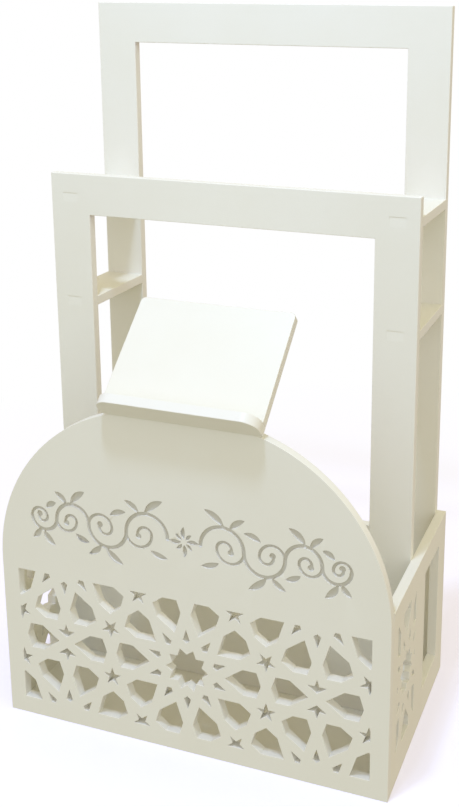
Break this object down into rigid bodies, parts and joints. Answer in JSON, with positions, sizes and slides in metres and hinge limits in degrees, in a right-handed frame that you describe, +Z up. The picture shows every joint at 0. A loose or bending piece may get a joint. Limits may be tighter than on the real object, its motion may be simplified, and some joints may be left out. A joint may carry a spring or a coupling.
{
  "type": "quran stand",
  "caption": "White painted MDF stand with a tilted book rest on an arched lattice front, and two tall frames behind it that hold prayer mats.",
  "frame": {"origin": "on the floor, at the middle of the bounding box", "axes": "+Z up; +Y from the front to the back; +X to the right of a person who faces the front"},
  "size_m": [0.5, 0.2914, 0.885],
  "materials": {
    "painted_mdf": "satin off-white paint over 12 mm MDF",
    "beech_dowel": "plain beech"
  },
  "bodies": {
    "root": {"book_rest_board": "painted_mdf", "book_rest_ledge": "painted_mdf", "floor_panel": "painted_mdf", "front_frame": "painted_mdf", "front_panel": "painted_mdf", "ledge_dowels": "beech_dowel", "left_bracket_dowels": "beech_dowel", "left_corner_dowels": "beech_dowel", "left_floor_dowels": "beech_dowel", "left_front_frame_dowels": "beech_dowel", "left_lower_cross_shelf": "painted_mdf", "left_rear_frame_dowels": "beech_dowel", "left_rest_bracket": "painted_mdf", "left_side_panel": "painted_mdf", "left_upper_cross_shelf": "painted_mdf", "rear_frame": "painted_mdf", "right_bracket_dowels": "beech_dowel", "right_corner_dowels": "beech_dowel", "right_floor_dowels": "beech_dowel", "right_front_frame_dowels": "beech_dowel", "right_lower_cross_shelf": "painted_mdf", "right_rear_frame_dowels": "beech_dowel", "right_rest_bracket": "painted_mdf", "right_side_panel": "painted_mdf", "right_upper_cross_shelf": "painted_mdf"}
  },
  "joints": []
}
